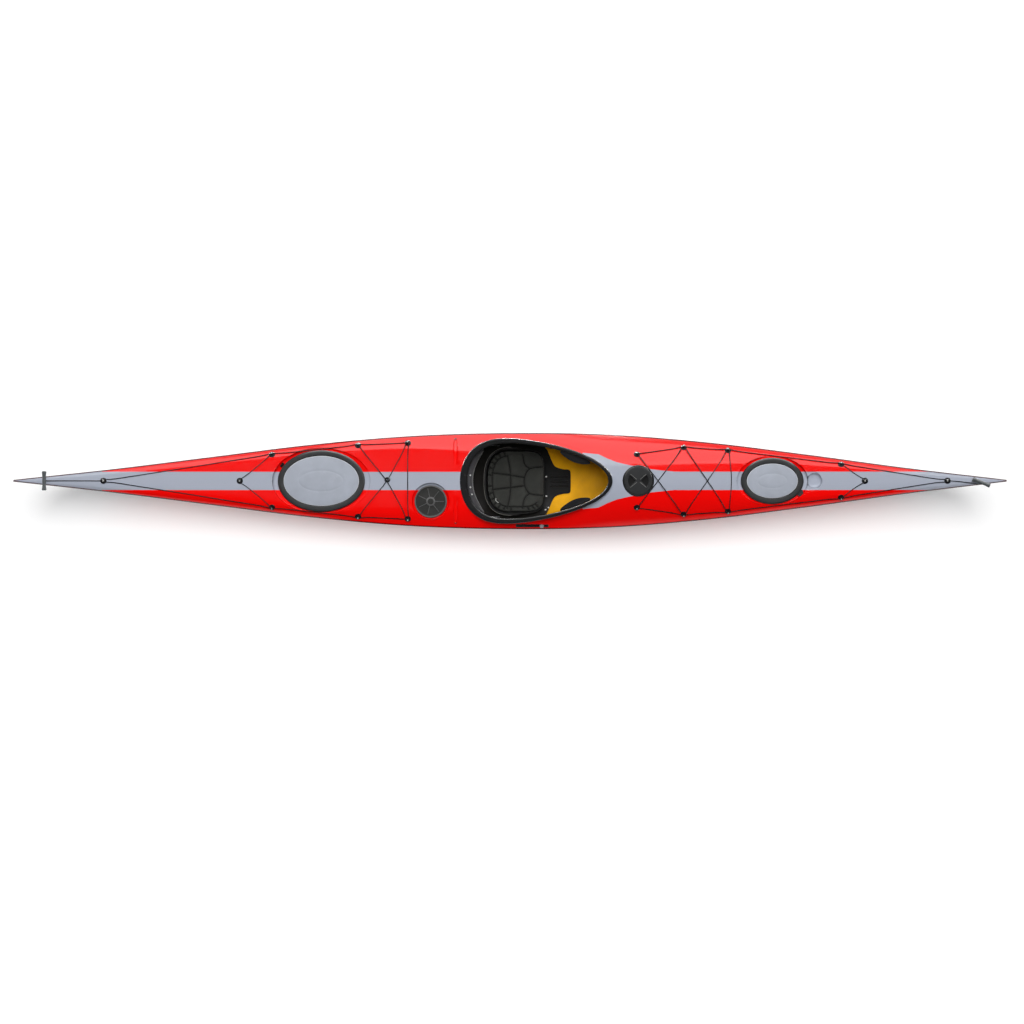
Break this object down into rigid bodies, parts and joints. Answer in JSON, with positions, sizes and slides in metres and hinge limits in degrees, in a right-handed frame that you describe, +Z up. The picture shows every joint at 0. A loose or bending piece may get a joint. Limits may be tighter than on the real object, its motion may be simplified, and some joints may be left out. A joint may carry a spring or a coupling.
{
  "type": "sea kayak",
  "caption": "Long sea kayak with oval hatches, keyhole cockpit, seat with backrest, sliding foot pedals, drop skeg with slider, deck lines, bungees and carry toggles.",
  "frame": {"origin": "on the keel amidships, at the bottom centre of the bounding box", "axes": "+X towards the bow, +Y to port, +Z up"},
  "size_m": [5.4, 0.528, 0.4228],
  "materials": {
    "red_gelcoat": "gloss",
    "black_gelcoat": "satin",
    "seat_plastic": "satin",
    "seat_fabric": "matt",
    "seat_foam": "matt",
    "bulkhead_laminate": "satin",
    "amber_laminate": "satin",
    "rail_alloy": "satin",
    "rim_plastic": "satin",
    "hatch_rubber": "matt",
    "plate_plastic": "satin",
    "fitting_nylon": "satin",
    "toggle_grip": "matt",
    "deck_cord": "matt"
  },
  "bodies": {
    "hull": {"hull_shell": "red_gelcoat", "deck_shell": "red_gelcoat", "cockpit_coaming": "black_gelcoat", "seat_pan": "seat_plastic", "seat_pad": "seat_fabric", "port_thigh_brace": "black_gelcoat", "starboard_thigh_brace": "black_gelcoat", "rear_bulkhead": "bulkhead_laminate", "middle_bulkhead": "bulkhead_laminate", "front_bulkhead": "bulkhead_laminate", "port_footrest_rail": "rail_alloy", "starboard_footrest_rail": "rail_alloy", "rear_hatch_rim": "rim_plastic", "front_hatch_rim": "rim_plastic", "day_hatch_rim": "rim_plastic", "deck_pod": "rim_plastic", "skeg_box": "amber_laminate", "skeg_cable": "deck_cord", "skeg_track": "rim_plastic", "aft_deck_fitting_port": "fitting_nylon", "aft_deck_fitting_starboard": "fitting_nylon", "rear_deck_fitting_port": "fitting_nylon", "rear_deck_fitting_starboard": "fitting_nylon", "day_deck_fitting_port": "fitting_nylon", "day_deck_fitting_starboard": "fitting_nylon", "pod_deck_fitting_port": "fitting_nylon", "pod_deck_fitting_starboard": "fitting_nylon", "chart_deck_fitting_port": "fitting_nylon", "chart_deck_fitting_starboard": "fitting_nylon", "front_deck_fitting_port": "fitting_nylon", "front_deck_fitting_starboard": "fitting_nylon", "fore_deck_fitting_port": "fitting_nylon", "fore_deck_fitting_starboard": "fitting_nylon", "stern_deck_fitting": "fitting_nylon", "aft_centre_deck_fitting": "fitting_nylon", "fore_centre_deck_fitting": "fitting_nylon", "bow_deck_fitting": "fitting_nylon", "aft_deck_line": "deck_cord", "fore_deck_line": "deck_cord", "aft_small_bungee": "deck_cord", "fore_small_bungee": "deck_cord", "rear_bungee": "deck_cord", "front_bungee": "deck_cord"},
    "rear_hatch_cover": {"rear_hatch_seal": "hatch_rubber", "rear_hatch_plate": "plate_plastic"},
    "front_hatch_cover": {"front_hatch_seal": "hatch_rubber", "front_hatch_plate": "plate_plastic"},
    "day_hatch_cover": {"day_hatch_cover": "hatch_rubber"},
    "screw_hatch_seal": {"screw_hatch_seal": "hatch_rubber"},
    "screw_hatch_lid": {"screw_hatch_lid": "rim_plastic"},
    "backrest": {"backrest_frame": "fitting_nylon", "backrest_pad": "seat_foam"},
    "port_foot_pedal": {"port_foot_pedal": "fitting_nylon"},
    "starboard_foot_pedal": {"starboard_foot_pedal": "fitting_nylon"},
    "skeg": {"skeg_blade": "fitting_nylon"},
    "skeg_slider": {"skeg_slider": "fitting_nylon"},
    "stern_toggle": {"stern_toggle": "toggle_grip", "stern_toggle_cord": "deck_cord"},
    "bow_toggle": {"bow_toggle": "toggle_grip", "bow_toggle_cord": "deck_cord"}
  },
  "joints": [
    {"name": "rear_hatch_lift", "type": "slide", "parent": "hull", "child": "rear_hatch_cover", "axis": [0, 0, 1], "range_m": [0, 0.3]},
    {"name": "front_hatch_lift", "type": "slide", "parent": "hull", "child": "front_hatch_cover", "axis": [0, 0, 1], "range_m": [0, 0.3]},
    {"name": "day_hatch_lift", "type": "slide", "parent": "hull", "child": "day_hatch_cover", "axis": [0, 0, 1], "range_m": [0, 0.25]},
    {"name": "screw_hatch_lift", "type": "slide", "parent": "hull", "child": "screw_hatch_seal", "axis": [0, 0, 1], "range_m": [0, 0.15]},
    {"name": "screw_lid_turn", "type": "hinge", "parent": "screw_hatch_seal", "child": "screw_hatch_lid", "pos_m": [0.703, 0, 0.33], "axis": [0, 0, 1], "range_deg": [0, 180]},
    {"name": "backrest_tilt", "type": "hinge", "parent": "hull", "child": "backrest", "pos_m": [-0.06, 0, 0.092], "axis": [0, 1, 0], "range_deg": [0, 40]},
    {"name": "port_pedal_slide", "type": "slide", "parent": "hull", "child": "port_foot_pedal", "axis": [0.9947, -0.1024, 0], "range_m": [-0.095, 0.17]},
    {"name": "starboard_pedal_slide", "type": "slide", "parent": "hull", "child": "starboard_foot_pedal", "axis": [0.9947, 0.1024, 0], "range_m": [-0.095, 0.17]},
    {"name": "skeg_swing", "type": "hinge", "parent": "hull", "child": "skeg", "pos_m": [-1.622, 0, 0.06], "axis": [0, -1, 0], "range_deg": [0, 50]},
    {"name": "skeg_slider_slide", "type": "slide", "parent": "hull", "child": "skeg_slider", "axis": [-1, 0, 0], "range_m": [0, 0.12]},
    {"name": "stern_toggle_swing", "type": "hinge", "parent": "hull", "child": "stern_toggle", "pos_m": [-2.227, 0, 0.348], "axis": [0, 1, 0], "range_deg": [0, 80]},
    {"name": "bow_toggle_swing", "type": "hinge", "parent": "hull", "child": "bow_toggle", "pos_m": [2.396, 0, 0.3848], "axis": [0, -1, 0], "range_deg": [0, 80]}
  ],
  "couplings": [
    {"joint": "skeg_slider_slide", "follows": "skeg_swing", "m_per_rad": 0.1375}
  ]
}
